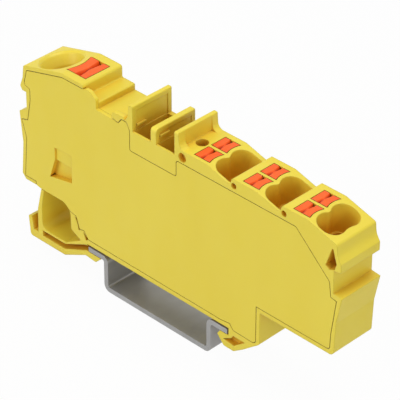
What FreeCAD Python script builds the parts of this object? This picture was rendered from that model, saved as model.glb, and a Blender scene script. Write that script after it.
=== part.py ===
import FreeCAD, Part
import math
import os

# Power distribution block on a piece of 35 mm rail, all sizes in millimetres
# x runs along the block from the rail's centre line, and y across it from its middle.
# The cover faces -y. z is up from the underside of the rail, and the heights below are
# counted from the top of the rail's flanges.

# Rail: the standard top-hat profile
RAIL_WIDTH = 35.0
RAIL_CHANNEL = 27.0
RAIL_DEPTH = 7.5
RAIL_THICKNESS = 1.0
RAIL_BEND = 0.4

# Play between the moulding and the rail
FLANGE_PLAY = 0.12
FLANGE_END_PLAY = 0.35

# Housing and cover
BLOCK_WIDTH = 9.5
BACK_WALL = 1.0
COVER_THICKNESS = 0.7
COVER_SEAT_PLAY = 0.03
SEAM_GAP = 0.12
RIM = 0.95
INNER_WALL = 1.0
SOFT_EDGE = 0.3
OVERCUT = 1.0

# Input end of the housing
INPUT_CORNER_X = -33.4
INPUT_BEND_X = -23.4
INPUT_WALL_X = -17.8
INPUT_TOP = 34.35
INPUT_BEND_ROUND = 3.0
INPUT_WALL_ROUND = 0.5
INPUT_TILT = 15.0
LEDGE_TOP = 31.95
LEDGE_END_X = -14.6
FLAT_TOP = 30.7

# Marker groove and lip at the input end
LEFT_NOSE_X = -34.45
LEFT_GROOVE_X = -32.95
LEFT_GROOVE_TOP = 26.3
LEFT_NOSE_RISE = 0.8
LEFT_SHOULDER = 0.3
LEFT_SHOULDER_RISE = 2.0
LEFT_GROOVE_BOTTOM = 22.7
LEFT_LIP_X = -34.95
LEFT_LIP_HEIGHT = 21.5
LEFT_WAIST_X = -34.3
LEFT_WAIST_HEIGHT = 15.0
LEFT_BASE_X = -34.85
LEFT_BASE_HEIGHT = 8.1
LEFT_FLOOR = 7.1

# Jumper slots and their partitions
SLOT_START_X = -5.45
SLOT_LENGTH = 4.45
SLOT_FRONT_WALL = 0.4
SLOT_BACK_WALL = 1.0
SLOT_WALL_TOP = 30.3
OUTER_PARTITION = 0.95
MIDDLE_PARTITION = 1.3
FIRST_PARTITION_TOP = 35.35
MIDDLE_PARTITION_TOP = 33.35
LAST_PARTITION_TOP = 35.15
PARTITION_EDGE = 0.2
FIRST_PARTITION_BLEND = 3.6
LAST_PARTITION_FOOT = 1.05
LAST_PARTITION_BLEND = 1.3
MIDDLE_PARTITION_ROUND = 0.8
LAST_PARTITION_ROUND = 0.4
GUSSET_FRONT = 1.6
GUSSET_BACK = 1.4
PANEL_DROP = 1.0
PANEL_DEPTH = 0.12
PANEL_MARGIN = 0.9
RIB_PROUD = 0.25
RIB_HEIGHT = 0.4
RIB_LENGTH = 2.2

# Lug on the front wall beside the first partition
LUG_LENGTH = 2.6
LUG_GAP = 1.4
LUG_THICKNESS = 1.0
LUG_TOP = 32.25

# Output stations
STATIONS = 3
STATION_PITCH = 11.4
STATION_TOP = 32.0
STATION_LEVEL = 5.75
STATION_TILT = 15.5
STATION_EDGE = 0.55
STATION_BLEND = 0.8
END_LAND = 0.95

# Marker groove and lip at the output end, measured from the end corner
RIGHT_NOSE = 1.05
RIGHT_NOSE_TOP = 26.7
RIGHT_NOSE_RISE = 1.3
RIGHT_NOSE_ROUND = 3.0
RIGHT_GROOVE = 0.45
RIGHT_GROOVE_TOP = 24.8
RIGHT_GROOVE_BOTTOM = 20.2
RIGHT_LIP = 1.5
RIGHT_WAIST = 0.4
RIGHT_WAIST_HEIGHT = 14.5
RIGHT_BASE = 0.13
RIGHT_FLOOR = 7.6
RIGHT_BASE_ROUND = 1.0
RIGHT_SHOULDER = 0.2
RIGHT_GROOVE_SLANT = 0.2
TONGUE_SLIT_TOP = 29.3
TONGUE_THICKNESS = 1.0

# Fixed foot at the output side
BODY_BOTTOM = 0.45
FOOT_FACE_X = 25.2
FOOT_HEEL_X = 21.3
FOOT_HEEL_HEIGHT = -2.35
FOOT_BOTTOM = -3.9
FOOT_NOSE_REACH = 2.4
FOOT_RECESS_DEPTH = 1.2
FOOT_HEEL_SLOPE = 2.2
FOOT_HEEL_ROUND = 0.8
FOOT_NOSE_SLOPE = 1.6
FOOT_NOSE_DROP = 0.9
FOOT_NOSE_TIP = 0.7

# Latching foot at the input side
LATCH_ROOT_X = -29.8
LATCH_ELBOW_X = -31.05
LATCH_ARM = 1.15
LATCH_TAB_X = -33.7
LATCH_TAB_WALL = 0.85
LATCH_TAB_TOP = -0.9
LATCH_BOTTOM = -5.05
LATCH_BAR = 1.35
LATCH_BAR_GAP = 1.2
LATCH_UPPER_BAR = 0.45
LATCH_BEND_X = -24.0
LATCH_REACH = 3.3
LATCH_TIP_SLOPE = 1.5
LATCH_TIP_DROP = 1.4
LATCH_BEND_ROUND = 0.8
LATCH_TAB_SLANT = 0.4
LATCH_TAB_ROUND = 0.6
LATCH_TAB_FOOT = 0.5
LATCH_ELBOW_HEIGHT = 1.8
LATCH_ELBOW_ROUND = 1.5
WINDOW_TOP = 6.85
WINDOW_RIGHT_X = -22.15
WINDOW_ROUND = 2.0
WINDOW_DEPTH = 3.8
WINDOW_WEB = 1.2

# Cover outline where it leaves the rim
COVER_SLOT_TOP = 26.05
COVER_STATION_TOP = 29.3
COVER_END_DROP = 7.1
COVER_LIP_TOP = 33.8
COVER_LIP_END = 32.7
COVER_CORNER = 0.5

# Pocket in the cover
POCKET_LEFT_X = -27.3
POCKET_RIGHT_X = -21.35
POCKET_TOP = 17.8
POCKET_STEP = 14.9
POCKET_BOTTOM = 10.8
POCKET_SHALLOW = 0.35
POCKET_DEEP = 1.1
POCKET_PAD = 0.8
POCKET_FLOOR = 0.6
POCKET_SLANT = 1.5
POCKET_SILL = 1.2

# Busbar and contact plates
BUSBAR_TOP = 17.4
BUSBAR_THICKNESS = 1.5
BUSBAR_SIDE_GAP = 0.2
BUSBAR_STEP_X = -19.0
BUSBAR_PLAY = 0.08
BUSBAR_END = 1.4
CONTACT_THICKNESS = 0.6
CONTACT_SIDE_GAP = 0.4
POCKET_CLEARANCE = 0.15
CONTACT_BEND = 0.5
CONTACT_UPRIGHT = 2.6
JUMPER_HOLE_LENGTH = 2.2
JUMPER_HOLE_WIDTH = 3.6

# Clamp chambers
CHAMBER_ROOF = 24.5
CHAMBER_FLOOR = 9.4
BORE_BLOCK_START = 4.1
BORE_BLOCK_BOTTOM = 21.6

# Buttons
BUTTON_PLAY = 0.12
LUG_HEIGHT = 1.0
LUG_DEPTH = 0.5
LUG_PLAY = 0.2
SPRING_PLAY = 0.1

# Output clamps, measured from the inner wall of their station
OUTPUT_TRAVEL = 2.0
OUTPUT_BUTTON_START = 2.1
OUTPUT_BUTTON_LENGTH = 3.5
OUTPUT_BUTTON_HOLLOW = 0.35
BUTTON_FRONT_WALL = 0.8
BUTTON_MIDDLE_WALL = 0.8
BUTTON_BACK_WALL = 1.3
OUTPUT_BUTTON_FACE = 2.6
OUTPUT_HEAD_HEIGHT = 5.0
OUTPUT_LEG_START = 2.7
OUTPUT_LEG_LENGTH = 1.1
OUTPUT_LEG_WIDTH = 1.8
OUTPUT_ENTRY = 8.93
OUTPUT_CLAMP_STEP = 0.6
OUTPUT_BORE_WALL = 0.6
OUTPUT_WINDOW_START = 2.8
OUTPUT_WINDOW_LENGTH = 4.0
OUTPUT_WINDOW_SIDE = 0.7
OUTPUT_SPRING_SIDE = 0.9
OUTPUT_SPRING_THICKNESS = 0.35
OUTPUT_SPRING_LOOP = 0.95
OUTPUT_SPRING_FOOT = 0.65
OUTPUT_SPRING_LEG = 5.2
OUTPUT_SPRING_GAP = 0.2
OUTPUT_GROOVE_WIDTH = 0.95
OUTPUT_GROOVE_DEPTH = 0.65
OUTPUT_SADDLE_WIDTH = 0.5
OUTPUT_SADDLE_DEPTH = 0.15

# Funnel of an output station: two lobes in one cavity, measured on the slope from its middle
FUNNEL_MIDDLE = 8.5
FUNNEL_FRONT_WALL = 0.4
FUNNEL_NEAR_LOBES = -0.15
FUNNEL_FAR_LOBES = 0.31
FUNNEL_NEAR_BLEND = 0.8
FUNNEL_FAR_BLEND = 3.9
FUNNEL_DEPTH = 5.6
FUNNEL_FLOOR_SPREAD = 0.07
FUNNEL_RISE = 2.0
OUTLET_FLOOR_START = 0.6
OUTLET_FLOOR_END = 1.6
OUTLET_TAPER = 0.6

# Input clamp, measured from the inner wall of its station towards the end
INPUT_TRAVEL = 2.6
INPUT_MIDDLE = -0.05
INPUT_BUTTON_START = 1.25
INPUT_BUTTON_LENGTH = 4.7
INPUT_BUTTON_WALL = 1.875
INPUT_BUTTON_HOLLOW = 0.7
INPUT_BUTTON_FACE = 2.85
INPUT_HEAD_HEIGHT = 5.75
INPUT_LEG_START = 3.1
INPUT_LEG_LENGTH = 1.0
INPUT_LEG_WIDTH = 3.4
INPUT_ENTRY = 10.5
INPUT_RIM_WALL = 0.35
INPUT_RIM_ROUND = 0.35
INPUT_THROAT_TAPER = 0.85
INPUT_THROAT_DEPTH = 2.2
INPUT_BORE_TAPER = 0.5
INPUT_FUNNEL_DEPTH = 4.5
INPUT_CHAMBER_LENGTH = 12.7
INPUT_WINDOW_START = 3.6
INPUT_WINDOW_LENGTH = 5.2
INPUT_WINDOW_SIDE = 0.4
INPUT_SPRING_SIDE = 0.8
INPUT_SPRING_THICKNESS = 0.4
INPUT_SPRING_LOOP = 1.35
INPUT_SPRING_FOOT = 1.1
INPUT_SPRING_LEG = 7.6
INPUT_SPRING_GAP = 0.4
INPUT_GROOVE_WIDTH = 1.4
INPUT_GROOVE_DEPTH = 1.1
INPUT_SADDLE_WIDTH = 0.6
INPUT_SADDLE_DEPTH = 0.3
GROOVE_FLOOR_SHARE = 0.3

# Test hole and side holes of the output stations
TEST_HOLE_RADIUS = 1.15
TEST_HOLE_OFFSET = 0.45
TEST_HOLE_Y = -0.5
SIDE_HOLE_RADIUS = 0.58
SIDE_HOLE_OFFSET = 0.6
FIRST_SIDE_HOLE_RADIUS = 0.9
FIRST_SIDE_HOLE_OFFSET = -0.15
SIDE_HOLE_HEIGHT = 30.6
SIDE_HOLE_DEPTH = 1.0

# Places worked out from the sizes above
FRONT = -BLOCK_WIDTH / 2
BACK = BLOCK_WIDTH / 2
INSIDE_FRONT = FRONT + COVER_THICKNESS
INSIDE_BACK = BACK - BACK_WALL
FLANGE_X = RAIL_WIDTH / 2
FIRST_PARTITION_X = SLOT_START_X - OUTER_PARTITION
SLOT_1 = (SLOT_START_X, SLOT_START_X + SLOT_LENGTH)
SLOT_2 = (SLOT_1[1] + MIDDLE_PARTITION, SLOT_1[1] + MIDDLE_PARTITION + SLOT_LENGTH)
LAST_PARTITION_X = SLOT_2[1] + OUTER_PARTITION
STATION_STARTS = [LAST_PARTITION_X + LAST_PARTITION_FOOT + k * STATION_PITCH for k in range(STATIONS)]
END_X = STATION_STARTS[-1] + STATION_PITCH + END_LAND
CONTACT_TOP = BUSBAR_TOP + CONTACT_THICKNESS
HOOK_TOP = -RAIL_THICKNESS - FLANGE_PLAY
LEFT_NOSE_HEIGHT = LEFT_GROOVE_TOP + LEFT_NOSE_RISE
LEFT_POCKET_X = -FLANGE_X - FLANGE_END_PLAY
RIGHT_POCKET_X = FLANGE_X + FLANGE_END_PLAY
STEP_DROP = math.tan(math.radians(STATION_TILT))

# Widths worked out from the block's width and its walls
OUTPUT_BUTTON_WIDTH = (BLOCK_WIDTH - BUTTON_FRONT_WALL - BUTTON_MIDDLE_WALL - BUTTON_BACK_WALL) / 2
OUTPUT_BUTTON_SPACING = OUTPUT_BUTTON_WIDTH + BUTTON_MIDDLE_WALL
ROW_MIDDLE = (BUTTON_FRONT_WALL - BUTTON_BACK_WALL) / 2
OUTPUT_CLAMP_SPACING = OUTPUT_BUTTON_SPACING - OUTPUT_CLAMP_STEP
OUTPUT_BORE_RADIUS = (OUTPUT_CLAMP_SPACING - OUTPUT_BORE_WALL) / 2
OUTPUT_WINDOW_WIDTH = OUTPUT_CLAMP_SPACING - OUTPUT_WINDOW_SIDE
OUTPUT_SPRING_WIDTH = OUTPUT_CLAMP_SPACING - OUTPUT_SPRING_SIDE
FUNNEL_REACH = ROW_MIDDLE - FRONT - FUNNEL_FRONT_WALL
INPUT_BUTTON_WIDTH = BLOCK_WIDTH - 2 * INPUT_BUTTON_WALL
INPUT_RIM_RADIUS = INPUT_MIDDLE - FRONT - INPUT_RIM_WALL
INPUT_FUNNEL_RADIUS = INPUT_RIM_RADIUS - INPUT_RIM_ROUND
INPUT_THROAT_RADIUS = INPUT_FUNNEL_RADIUS - INPUT_THROAT_TAPER
INPUT_BORE_RADIUS = INPUT_THROAT_RADIUS - INPUT_BORE_TAPER
INPUT_WINDOW_WIDTH = 2 * INPUT_BORE_RADIUS - INPUT_WINDOW_SIDE
INPUT_SPRING_WIDTH = 2 * INPUT_BORE_RADIUS - INPUT_SPRING_SIDE
INSIDE_MIDDLE = (INSIDE_FRONT + INSIDE_BACK) / 2
BUSBAR_WIDTH = INSIDE_BACK - INSIDE_FRONT - 2 * BUSBAR_SIDE_GAP
CONTACT_WIDTH = INSIDE_BACK - INSIDE_FRONT - 2 * CONTACT_SIDE_GAP
INPUT_BAR_WIDTH = 2 * (INPUT_MIDDLE - FRONT - POCKET_DEEP - POCKET_FLOOR - POCKET_CLEARANCE)


def at(x, height, y=0.0):
    """A point by its place along the block and its height over the rail's flanges."""
    return FreeCAD.Vector(x, y, RAIL_DEPTH + height)


def outline(corners):
    """A closed wire through (x, height) corners; a third number rounds its corner."""
    points = [at(corner[0], corner[1]) for corner in corners]
    radii = [corner[2] if len(corner) > 2 else 0.0 for corner in corners]
    ways_in = []
    ways_out = []
    arcs = []
    for place, point in enumerate(points):
        back = (points[place - 1] - point).normalize()
        ahead = (points[(place + 1) % len(points)] - point).normalize()
        half_angle = back.getAngle(ahead) / 2
        setback = radii[place] / math.tan(half_angle)
        ways_in.append(point + back * setback)
        ways_out.append(point + ahead * setback)
        bisector = (back + ahead).normalize() if radii[place] else back
        reach = radii[place] / math.sin(half_angle) - radii[place]
        arcs.append(point + bisector * reach)
    edges = []
    for place in range(len(points)):
        if radii[place]:
            edges.append(Part.Arc(ways_in[place], arcs[place], ways_out[place]).toShape())
        start, end = ways_out[place], ways_in[(place + 1) % len(points)]
        if start.distanceToPoint(end) > 1e-6:
            edges.append(Part.LineSegment(start, end).toShape())
    return Part.Wire(edges)


def plate(corners, front, back):
    """The outline filled and carried across the block from front to back."""
    face = Part.Face(outline(corners))
    face.translate(FreeCAD.Vector(0, front, 0))
    return face.extrude(FreeCAD.Vector(0, back - front, 0))


def block(x_range, height_range, front, back, corner=0.0):
    """A box between two places along x, two heights and two places across."""
    left, right = min(x_range), max(x_range)
    low, high = height_range
    corners = [(left, low, corner), (left, high, corner), (right, high, corner), (right, low, corner)]
    return plate(corners, front, back)


def bent_strip(start, heading, moves, thickness, middle, width):
    """A strip bent to shape: each move is a straight length or a (radius, turn) bend.

    The heading and the turns are in degrees, and a positive turn goes to the left.
    """
    near, far = [], []
    x, height = start
    angle = math.radians(heading)

    def beside(px, ph, pa, side):
        return at(px - math.sin(pa) * side * thickness / 2, ph + math.cos(pa) * side * thickness / 2)

    first = (x, height, angle)
    for move in moves:
        begin = (x, height, angle)
        if isinstance(move, tuple):
            radius, turn = move
            hand = math.copysign(1.0, turn)
            centre_x = x - math.sin(angle) * hand * radius
            centre_h = height + math.cos(angle) * hand * radius
            stops = []
            for share in (0.5, 1.0):
                stop = angle + math.radians(turn) * share
                stop_x = centre_x + math.sin(stop) * hand * radius
                stop_h = centre_h - math.cos(stop) * hand * radius
                stops.append((stop_x, stop_h, stop))
            middle_stop, end = stops
            for side, chain in ((1, near), (-1, far)):
                points = [beside(*stop, side) for stop in (begin, middle_stop, end)]
                chain.append(Part.Arc(*points).toShape())
        else:
            end = (x + math.cos(angle) * move, height + math.sin(angle) * move, angle)
            for side, chain in ((1, near), (-1, far)):
                chain.append(Part.LineSegment(beside(*begin, side), beside(*end, side)).toShape())
        x, height, angle = end
    caps = [Part.LineSegment(beside(*stop, 1), beside(*stop, -1)).toShape() for stop in (first, end)]
    wire = Part.Wire(Part.sortEdges(near + far + caps)[0])
    face = Part.Face(wire)
    face.translate(FreeCAD.Vector(0, middle - width / 2, 0))
    return face.extrude(FreeCAD.Vector(0, width, 0))


class Clamp:
    """One clamp's places: along its station from the inner wall, and the sizes of its pieces."""

    def __init__(self, wall_x, hand, kind, button_y, clamp_y):
        self.wall_x = wall_x
        self.hand = hand
        self.button_y = button_y
        self.clamp_y = clamp_y
        for name, value in kind.items():
            setattr(self, name, value)
        self.contact_start = self.loop_place - self.loop - self.spring_thickness / 2

    def x(self, place):
        return self.wall_x + self.hand * place

    def surface(self, place):
        """Height of the station's top at a place along it."""
        return self.top - max(0.0, place - self.level) * math.tan(math.radians(self.tilt))

    def way_out(self):
        """Direction in which a conductor leaves the clamp."""
        angle = math.radians(self.tilt)
        return FreeCAD.Vector(self.hand * math.sin(angle), 0, math.cos(angle))

    def entry_point(self, y):
        return at(self.x(self.entry), self.surface(self.entry), y)


OUTPUT_KIND = {
    "top": STATION_TOP,
    "level": STATION_LEVEL,
    "tilt": STATION_TILT,
    "travel": OUTPUT_TRAVEL,
    "button_start": OUTPUT_BUTTON_START,
    "button_length": OUTPUT_BUTTON_LENGTH,
    "button_width": OUTPUT_BUTTON_WIDTH,
    "button_face": OUTPUT_BUTTON_FACE,
    "head": OUTPUT_HEAD_HEIGHT,
    "button_hollow": OUTPUT_BUTTON_HOLLOW,
    "leg_start": OUTPUT_LEG_START,
    "leg_length": OUTPUT_LEG_LENGTH,
    "leg_width": OUTPUT_LEG_WIDTH,
    "entry": OUTPUT_ENTRY,
    "bore_radius": OUTPUT_BORE_RADIUS,
    "window_start": OUTPUT_WINDOW_START,
    "window_length": OUTPUT_WINDOW_LENGTH,
    "window_width": OUTPUT_WINDOW_WIDTH,
    "spring_width": OUTPUT_SPRING_WIDTH,
    "spring_thickness": OUTPUT_SPRING_THICKNESS,
    "loop": OUTPUT_SPRING_LOOP,
    "loop_place": OUTPUT_WINDOW_START - OUTPUT_SPRING_FOOT - OUTPUT_SPRING_GAP,
    "foot": OUTPUT_SPRING_FOOT,
    "spring_leg": OUTPUT_SPRING_LEG,
    "groove_width": OUTPUT_GROOVE_WIDTH,
    "groove_depth": OUTPUT_GROOVE_DEPTH,
    "saddle_width": OUTPUT_SADDLE_WIDTH,
    "saddle_depth": OUTPUT_SADDLE_DEPTH,
}

INPUT_KIND = {
    "top": INPUT_TOP,
    "level": INPUT_WALL_X - INPUT_BEND_X,
    "tilt": INPUT_TILT,
    "travel": INPUT_TRAVEL,
    "button_start": INPUT_BUTTON_START,
    "button_length": INPUT_BUTTON_LENGTH,
    "button_width": INPUT_BUTTON_WIDTH,
    "button_face": INPUT_BUTTON_FACE,
    "head": INPUT_HEAD_HEIGHT,
    "button_hollow": INPUT_BUTTON_HOLLOW,
    "leg_start": INPUT_LEG_START,
    "leg_length": INPUT_LEG_LENGTH,
    "leg_width": INPUT_LEG_WIDTH,
    "entry": INPUT_ENTRY,
    "bore_radius": INPUT_BORE_RADIUS,
    "window_start": INPUT_WINDOW_START,
    "window_length": INPUT_WINDOW_LENGTH,
    "window_width": INPUT_WINDOW_WIDTH,
    "spring_width": INPUT_SPRING_WIDTH,
    "spring_thickness": INPUT_SPRING_THICKNESS,
    "loop": INPUT_SPRING_LOOP,
    "loop_place": INPUT_WINDOW_START - INPUT_SPRING_FOOT - INPUT_SPRING_GAP,
    "foot": INPUT_SPRING_FOOT,
    "spring_leg": INPUT_SPRING_LEG,
    "groove_width": INPUT_GROOVE_WIDTH,
    "groove_depth": INPUT_GROOVE_DEPTH,
    "saddle_width": INPUT_SADDLE_WIDTH,
    "saddle_depth": INPUT_SADDLE_DEPTH,
}

INPUT_CLAMP = Clamp(INPUT_WALL_X, -1, INPUT_KIND, INPUT_MIDDLE, INPUT_MIDDLE)
ROWS = (-0.5, 0.5)


def output_clamp(station, row):
    button_y = ROW_MIDDLE + ROWS[row] * OUTPUT_BUTTON_SPACING
    clamp_y = ROW_MIDDLE + ROWS[row] * OUTPUT_CLAMP_SPACING
    return Clamp(STATION_STARTS[station], 1, OUTPUT_KIND, button_y, clamp_y)


OUTPUT_CLAMPS = [output_clamp(station, row) for station in range(STATIONS) for row in (0, 1)]


# Rail

def din_rail():
    outer = RAIL_BEND + RAIL_THICKNESS
    half = RAIL_CHANNEL / 2
    inside = half - RAIL_THICKNESS
    floor = RAIL_THICKNESS - RAIL_DEPTH
    corners = [
        (-half, -RAIL_DEPTH, outer),
        (-half, -RAIL_THICKNESS, RAIL_BEND),
        (-FLANGE_X, -RAIL_THICKNESS),
        (-FLANGE_X, 0),
        (-inside, 0, outer),
        (-inside, floor, RAIL_BEND),
        (inside, floor, RAIL_BEND),
        (inside, 0, outer),
        (FLANGE_X, 0),
        (FLANGE_X, -RAIL_THICKNESS),
        (half, -RAIL_THICKNESS, RAIL_BEND),
        (half, -RAIL_DEPTH, outer),
    ]
    return plate(corners, FRONT, BACK)


# Outline of the housing

def top_corners():
    slope = math.tan(math.radians(INPUT_TILT))
    corner_height = INPUT_TOP - (INPUT_BEND_X - INPUT_CORNER_X) * slope
    corners = [
        (INPUT_CORNER_X, corner_height, SOFT_EDGE),
        (INPUT_BEND_X, INPUT_TOP, INPUT_BEND_ROUND),
        (INPUT_WALL_X, INPUT_TOP, INPUT_WALL_ROUND),
        (INPUT_WALL_X, LEDGE_TOP, SOFT_EDGE),
        (LEDGE_END_X, LEDGE_TOP, SOFT_EDGE),
        (LEDGE_END_X, FLAT_TOP),
        (FIRST_PARTITION_X, FLAT_TOP, FIRST_PARTITION_BLEND),
        (FIRST_PARTITION_X, FIRST_PARTITION_TOP, PARTITION_EDGE),
        (SLOT_1[0], FIRST_PARTITION_TOP, PARTITION_EDGE),
        (SLOT_1[0], SLOT_WALL_TOP),
        (SLOT_1[1], SLOT_WALL_TOP),
        (SLOT_1[1], MIDDLE_PARTITION_TOP, PARTITION_EDGE),
        (SLOT_2[0], MIDDLE_PARTITION_TOP, PARTITION_EDGE),
        (SLOT_2[0], SLOT_WALL_TOP),
        (SLOT_2[1], SLOT_WALL_TOP),
        (SLOT_2[1], LAST_PARTITION_TOP, PARTITION_EDGE),
        (LAST_PARTITION_X, LAST_PARTITION_TOP, PARTITION_EDGE),
        (LAST_PARTITION_X + PARTITION_EDGE, STATION_TOP, LAST_PARTITION_BLEND),
    ]
    for station, start in enumerate(STATION_STARTS):
        if station:
            corners.append((start, STATION_TOP, STATION_EDGE))
        corners.append((start + STATION_LEVEL, STATION_TOP, STATION_EDGE))
        step = start + STATION_PITCH
        low = STATION_TOP - (STATION_PITCH - STATION_LEVEL) * STEP_DROP
        if station < STATIONS - 1:
            corners.append((step, low, STATION_BLEND))
        else:
            corners.append((END_X, low - END_LAND * STEP_DROP, STATION_EDGE))
    return corners


def right_end_corners():
    return [
        (END_X + RIGHT_SHOULDER, RIGHT_NOSE_TOP + RIGHT_NOSE_RISE, RIGHT_NOSE_ROUND),
        (END_X + RIGHT_NOSE, RIGHT_NOSE_TOP, SOFT_EDGE),
        (END_X + RIGHT_NOSE, RIGHT_GROOVE_TOP + RIGHT_GROOVE_SLANT),
        (END_X - RIGHT_GROOVE, RIGHT_GROOVE_TOP),
        (END_X - RIGHT_GROOVE, RIGHT_GROOVE_BOTTOM),
        (END_X + RIGHT_LIP, RIGHT_GROOVE_BOTTOM - RIGHT_GROOVE_SLANT),
        (END_X + RIGHT_WAIST, RIGHT_WAIST_HEIGHT),
        (END_X + RIGHT_BASE, RIGHT_FLOOR, RIGHT_BASE_ROUND),
        (FOOT_FACE_X, RIGHT_FLOOR, SOFT_EDGE),
    ]


def fixed_foot_corners():
    nose_x = FLANGE_X - FOOT_NOSE_REACH
    return [
        (FOOT_FACE_X, FOOT_HEEL_ROUND, FOOT_HEEL_ROUND),
        (FOOT_HEEL_X, FOOT_HEEL_HEIGHT),
        (FOOT_HEEL_X - FOOT_HEEL_SLOPE, FOOT_BOTTOM, SOFT_EDGE),
        (nose_x + FOOT_NOSE_SLOPE, FOOT_BOTTOM, FOOT_HEEL_ROUND),
        (nose_x, HOOK_TOP - FOOT_NOSE_DROP, SOFT_EDGE),
        (nose_x + FOOT_NOSE_TIP, HOOK_TOP),
        (RIGHT_POCKET_X, HOOK_TOP),
        (RIGHT_POCKET_X, BODY_BOTTOM),
    ]


def latch_corners():
    tip_x = -FLANGE_X + LATCH_REACH
    slot_floor = LATCH_BOTTOM + LATCH_BAR + 0.3
    return [
        (LEFT_POCKET_X, BODY_BOTTOM),
        (LEFT_POCKET_X, HOOK_TOP),
        (tip_x, HOOK_TOP),
        (tip_x - LATCH_TIP_SLOPE, HOOK_TOP - LATCH_TIP_DROP, SOFT_EDGE),
        (LEFT_POCKET_X - 0.5, HOOK_TOP - LATCH_BAR + 0.2),
        (LATCH_BEND_X, LATCH_BOTTOM, LATCH_BEND_ROUND),
        (LATCH_TAB_X + LATCH_TAB_SLANT, LATCH_BOTTOM, LATCH_TAB_ROUND),
        (LATCH_TAB_X, LATCH_TAB_TOP),
        (LATCH_TAB_X + LATCH_TAB_WALL, LATCH_TAB_TOP + 0.2),
        (LATCH_TAB_X + LATCH_TAB_WALL + LATCH_TAB_FOOT, slot_floor),
        (LATCH_ELBOW_X - 0.1, slot_floor),
        (LATCH_ELBOW_X, LATCH_ELBOW_HEIGHT, LATCH_ELBOW_ROUND),
        (LATCH_ROOT_X, LEFT_FLOOR, SOFT_EDGE),
    ]


def left_end_corners():
    return [
        (LEFT_BASE_X + 0.9, LEFT_FLOOR, SOFT_EDGE),
        (LEFT_BASE_X, LEFT_BASE_HEIGHT, SOFT_EDGE),
        (LEFT_WAIST_X, LEFT_WAIST_HEIGHT),
        (LEFT_LIP_X, LEFT_LIP_HEIGHT),
        (LEFT_GROOVE_X, LEFT_GROOVE_BOTTOM),
        (LEFT_GROOVE_X, LEFT_GROOVE_TOP),
        (LEFT_NOSE_X + 0.5, LEFT_GROOVE_TOP),
        (LEFT_NOSE_X, LEFT_NOSE_HEIGHT, SOFT_EDGE),
        (INPUT_CORNER_X - LEFT_SHOULDER, LEFT_NOSE_HEIGHT + LEFT_SHOULDER_RISE),
    ]


def housing_corners():
    return (top_corners() + right_end_corners() + fixed_foot_corners()
            + latch_corners() + left_end_corners())


# Cover outline, which is also the recess of the housing

def cover_corners():
    slope = math.tan(math.radians(INPUT_TILT))
    left_x = INPUT_CORNER_X + RIM - 0.1
    left_top = INPUT_TOP - (INPUT_BEND_X - left_x) * slope - RIM
    end_x = END_X - RIM + 0.1
    foot_x = FOOT_FACE_X - RIM
    slot_left = FIRST_PARTITION_X + 0.1
    slot_right = LAST_PARTITION_X - 0.5
    return [
        (left_x, left_top, COVER_CORNER),
        (INPUT_BEND_X + 0.2, INPUT_TOP - RIM + 0.1, COVER_CORNER),
        (INPUT_WALL_X + 0.3, INPUT_TOP - RIM + 0.1),
        (INPUT_WALL_X + 0.6, COVER_LIP_TOP),
        (INPUT_WALL_X + 1.7, COVER_LIP_TOP, 1.0),
        (LEDGE_END_X, COVER_LIP_END, 0.5),
        (LEDGE_END_X, FLAT_TOP, SOFT_EDGE),
        (slot_left - 3.6, FLAT_TOP),
        (slot_left - 3.3, FLAT_TOP - 0.2),
        (slot_left - 2.6, FLAT_TOP - 0.1, 0.3),
        (slot_left - 1.9, FLAT_TOP + 0.85, 0.3),
        (slot_left - 0.7, FLAT_TOP + 0.85, 0.4),
        (slot_left, FLAT_TOP - 0.5, 0.5),
        (slot_left, COVER_SLOT_TOP, COVER_CORNER),
        (slot_right, COVER_SLOT_TOP, COVER_CORNER),
        (slot_right, COVER_STATION_TOP, COVER_CORNER),
        (STATION_STARTS[-1] + 3.3, COVER_STATION_TOP, COVER_CORNER),
        (END_X - 1.4, COVER_STATION_TOP - COVER_END_DROP, 1.0),
        (END_X - 1.0, RIGHT_GROOVE_BOTTOM - 1.0),
        (END_X + 0.25, RIGHT_GROOVE_BOTTOM - 1.25),
        (END_X - 0.7, RIGHT_WAIST_HEIGHT - 2.7),
        (end_x, RIGHT_FLOOR + RIM, 0.6),
        (foot_x, RIGHT_FLOOR + RIM),
        (foot_x, 0.5, 0.8),
        (FOOT_HEEL_X - 2.3, 0.6),
        (FOOT_HEEL_X - 3.2, 1.7),
        (RIGHT_POCKET_X - 1.8, 1.4),
        (LEFT_POCKET_X + 0.4, 1.6),
        (LEFT_POCKET_X - 0.75, 3.1),
        (LEFT_POCKET_X - 1.9, 2.85),
        (LEFT_POCKET_X - 2.7, 5.3),
        (WINDOW_RIGHT_X, WINDOW_TOP - 1.3, WINDOW_ROUND),
        (WINDOW_RIGHT_X - 1.5, WINDOW_TOP, WINDOW_ROUND),
        (LATCH_ROOT_X - 0.2, WINDOW_TOP),
        (LATCH_ROOT_X - 1.35, LEFT_FLOOR),
        (LATCH_ROOT_X - 1.35, LEFT_FLOOR + 0.8),
        (LEFT_BASE_X + 0.85, LEFT_FLOOR + 0.8),
        (LEFT_BASE_X + 1.6, LEFT_WAIST_HEIGHT + 1.4),
        (LEFT_LIP_X + 0.6, LEFT_LIP_HEIGHT - 1.6),
        (LEFT_LIP_X + 2.2, LEFT_LIP_HEIGHT - 1.1),
        (LEFT_GROOVE_X + 1.1, LEFT_GROOVE_TOP - 1.3),
        (LEFT_GROOVE_X + 1.1, LEFT_NOSE_HEIGHT + 0.3, COVER_CORNER),
        (LEFT_NOSE_X + 1.1, LEFT_NOSE_HEIGHT + 0.7, COVER_CORNER),
    ]


def cover_recess():
    face = Part.Face(outline(cover_corners()))
    grown = face.makeOffset2D(SEAM_GAP, 2)
    grown.translate(FreeCAD.Vector(0, FRONT, 0))
    return grown.extrude(FreeCAD.Vector(0, COVER_THICKNESS + COVER_SEAT_PLAY, 0))


# Conductor entries

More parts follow.
